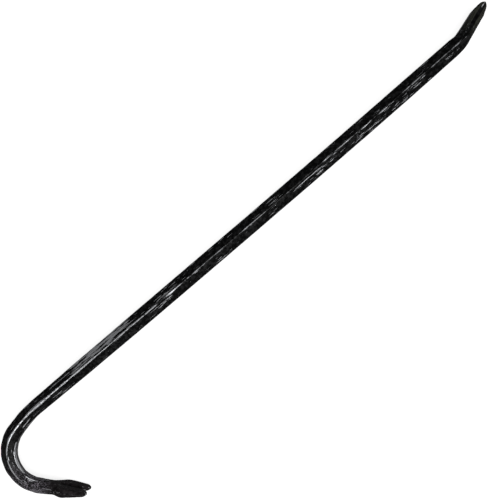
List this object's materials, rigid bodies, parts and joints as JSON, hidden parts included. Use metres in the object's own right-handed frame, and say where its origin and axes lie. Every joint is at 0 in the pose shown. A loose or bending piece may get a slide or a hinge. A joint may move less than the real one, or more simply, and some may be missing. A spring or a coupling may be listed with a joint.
{
  "type": "gooseneck pry bar",
  "caption": "One-piece forged wrecking bar of hexagonal steel with a gooseneck nail claw at one end and a cranked chisel blade at the other.",
  "frame": {"origin": "on the axis of the straight hexagonal shank, at the middle of its full-size length", "axes": "the bar lies on its side: +X along the shank towards the chisel, the gooseneck at the -X end curls towards -Y, the chisel is cranked towards +Y, +Z is square to the plane of both bends"},
  "size_m": [0.7589, 0.1304, 0.037],
  "materials": {
    "forged_steel": "black forge finish, worn to a dull grey sheen along the ridges and in lengthwise rub marks"
  },
  "bodies": {
    "root": {"forged_bar": "forged_steel"}
  },
  "joints": []
}
